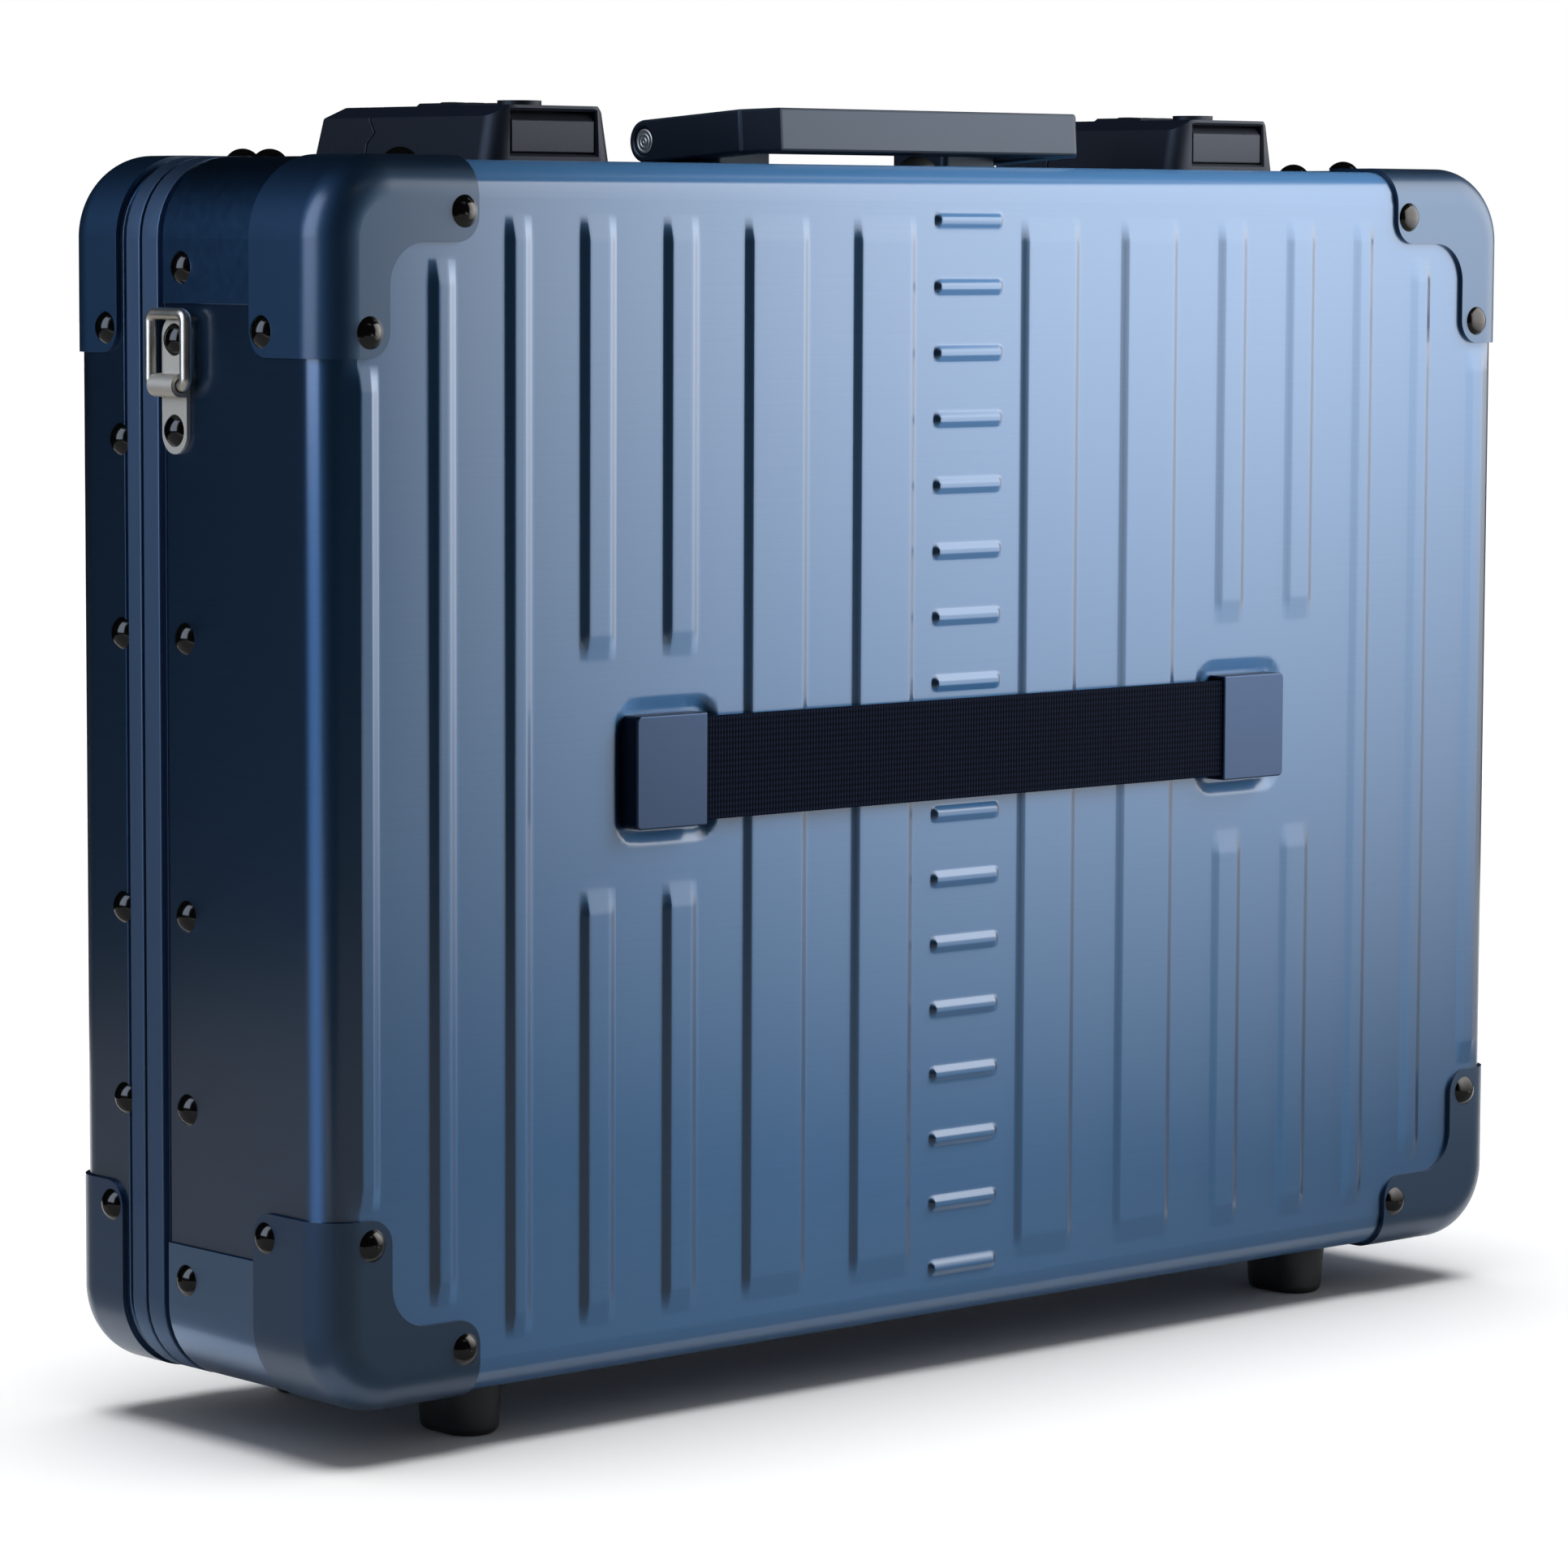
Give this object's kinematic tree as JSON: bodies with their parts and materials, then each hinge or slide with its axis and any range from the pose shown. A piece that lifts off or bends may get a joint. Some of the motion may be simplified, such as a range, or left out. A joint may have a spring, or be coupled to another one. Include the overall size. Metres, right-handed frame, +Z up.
{
  "type": "attache case",
  "caption": "Hard shell attache case of ribbed anodised aluminium on moulded feet, with a hinged lid, combination locks, a folding handle, corner guards and strap rings.",
  "frame": {"origin": "middle of the overall box at the level of the feet's soles", "axes": "+X along the case's width, to the right when the ribbed face with the strap is seen; +Y from that face towards the lid; +Z up through the handle"},
  "size_m": [0.4644, 0.1226, 0.3585],
  "materials": {
    "shell": "brushed and anodised blue",
    "band": "brushed and anodised blue",
    "rim": "satin anodised blue",
    "liner": "flocked grey",
    "guard": "satin anodised grey blue",
    "rivet": "gloss black",
    "strap": "woven navy",
    "clip": "satin grey blue",
    "foot": "moulded black",
    "lock": "textured black",
    "button": "textured black",
    "steel": "zinc plated",
    "dial": "black with numbers",
    "plug": "turned",
    "handle": "satin blue grey",
    "bumper": "translucent grey",
    "nickel": "nickel plated",
    "gasket": "extruded black"
  },
  "bodies": {
    "body": {"body_shell": "shell", "body_corner_bands": "band", "body_frame": "rim", "body_liner": "liner", "body_guard_lower_left": "guard", "body_guard_lower_right": "guard", "body_guard_upper_left": "guard", "body_guard_upper_right": "guard", "body_rivets": "rivet", "elastic_strap": "strap", "strap_clip_left": "clip", "strap_clip_right": "clip", "body_foot_left": "foot", "body_foot_right": "foot", "lock_case_left": "lock", "lock_case_right": "lock", "dial_axle_left": "steel", "dial_axle_right": "steel", "stay_studs": "steel", "hinge_body_leaf": "steel", "hinge_pin": "steel", "handle_pins": "plug", "handle_bracket_left": "handle", "handle_bracket_right": "handle", "handle_bumper": "bumper", "ring_bracket_left": "nickel", "ring_bracket_right": "nickel"},
    "lid": {"lid_shell": "shell", "lid_frame": "rim", "lid_liner": "liner", "gasket": "gasket", "lid_rivets": "rivet", "hinge_lid_leaf": "steel", "stay_pivots": "steel", "lid_foot_left": "foot", "lid_foot_right": "foot", "hasp_left": "lock", "hasp_right": "lock", "lid_guard_lower_left": "guard", "lid_guard_lower_right": "guard", "lid_guard_upper_left": "guard", "lid_guard_upper_right": "guard"},
    "handle": {"handle": "handle"},
    "stay_left": {"stay_arm_left": "steel"},
    "ring_left": {"strap_ring_left": "nickel"},
    "button_left": {"release_button_left": "button"},
    "latch_left": {"latch_left": "steel"},
    "dial_left_1": {"dial_left_1": "dial"},
    "dial_left_2": {"dial_left_2": "dial"},
    "dial_left_3": {"dial_left_3": "dial"},
    "plug_left": {"key_plug_left": "plug"},
    "stay_right": {"stay_arm_right": "steel"},
    "ring_right": {"strap_ring_right": "nickel"},
    "button_right": {"release_button_right": "button"},
    "latch_right": {"latch_right": "steel"},
    "dial_right_1": {"dial_right_1": "dial"},
    "dial_right_2": {"dial_right_2": "dial"},
    "dial_right_3": {"dial_right_3": "dial"},
    "plug_right": {"key_plug_right": "plug"}
  },
  "joints": [
    {"name": "lid_hinge", "type": "hinge", "parent": "body", "child": "lid", "pos_m": [0, 0.02345, 0.0113], "axis": [-1, 0, 0], "range_deg": [0, 95]},
    {"name": "handle_swing", "type": "hinge", "parent": "body", "child": "handle", "pos_m": [0, 0.0084, 0.3486], "axis": [-1, 0, 0], "range_deg": [0, 95]},
    {"name": "stay_left_pivot", "type": "hinge", "parent": "lid", "child": "stay_left", "pos_m": [-0.218, 0.03545, 0.0536], "axis": [-1, 0, 0], "range_deg": [-48, 0]},
    {"name": "ring_left_swing", "type": "hinge", "parent": "body", "child": "ring_left", "pos_m": [-0.2291, 0.0079, 0.2825], "axis": [0, -1, 0], "range_deg": [0, 180]},
    {"name": "button_left_push", "type": "slide", "parent": "body", "child": "button_left", "axis": [0, 1, 0], "range_m": [0, 0.004], "stiffness_N_per_m": 300},
    {"name": "latch_left_lift", "type": "slide", "parent": "body", "child": "latch_left", "axis": [0, 0, 1], "range_m": [0, 0.0032]},
    {"name": "dial_left_1_turn", "type": "hinge", "parent": "body", "child": "dial_left_1", "pos_m": [-0.137, 0.0034, 0.352], "axis": [1, 0, 0], "continuous": true},
    {"name": "dial_left_2_turn", "type": "hinge", "parent": "body", "child": "dial_left_2", "pos_m": [-0.13, 0.0034, 0.352], "axis": [1, 0, 0], "continuous": true},
    {"name": "dial_left_3_turn", "type": "hinge", "parent": "body", "child": "dial_left_3", "pos_m": [-0.123, 0.0034, 0.352], "axis": [1, 0, 0], "continuous": true},
    {"name": "plug_left_turn", "type": "hinge", "parent": "body", "child": "plug_left", "pos_m": [-0.13, -0.0166, 0.355], "axis": [0, 0, 1], "range_deg": [0, 90]},
    {"name": "stay_right_pivot", "type": "hinge", "parent": "lid", "child": "stay_right", "pos_m": [0.218, 0.03545, 0.0536], "axis": [-1, 0, 0], "range_deg": [-48, 0]},
    {"name": "ring_right_swing", "type": "hinge", "parent": "body", "child": "ring_right", "pos_m": [0.2291, 0.0079, 0.2825], "axis": [0, 1, 0], "range_deg": [0, 180]},
    {"name": "button_right_push", "type": "slide", "parent": "body", "child": "button_right", "axis": [0, 1, 0], "range_m": [0, 0.004], "stiffness_N_per_m": 300},
    {"name": "latch_right_lift", "type": "slide", "parent": "body", "child": "latch_right", "axis": [0, 0, 1], "range_m": [0, 0.0032]},
    {"name": "dial_right_1_turn", "type": "hinge", "parent": "body", "child": "dial_right_1", "pos_m": [0.123, 0.0034, 0.352], "axis": [1, 0, 0], "continuous": true},
    {"name": "dial_right_2_turn", "type": "hinge", "parent": "body", "child": "dial_right_2", "pos_m": [0.13, 0.0034, 0.352], "axis": [1, 0, 0], "continuous": true},
    {"name": "dial_right_3_turn", "type": "hinge", "parent": "body", "child": "dial_right_3", "pos_m": [0.137, 0.0034, 0.352], "axis": [1, 0, 0], "continuous": true},
    {"name": "plug_right_turn", "type": "hinge", "parent": "body", "child": "plug_right", "pos_m": [0.13, -0.0166, 0.355], "axis": [0, 0, 1], "range_deg": [0, 90]}
  ],
  "couplings": [
    {"joint": "stay_left_pivot", "follows": "lid_hinge", "ratio": -0.5},
    {"joint": "latch_left_lift", "follows": "button_left_push", "ratio": 0.8},
    {"joint": "stay_right_pivot", "follows": "lid_hinge", "ratio": -0.5},
    {"joint": "latch_right_lift", "follows": "button_right_push", "ratio": 0.8}
  ]
}
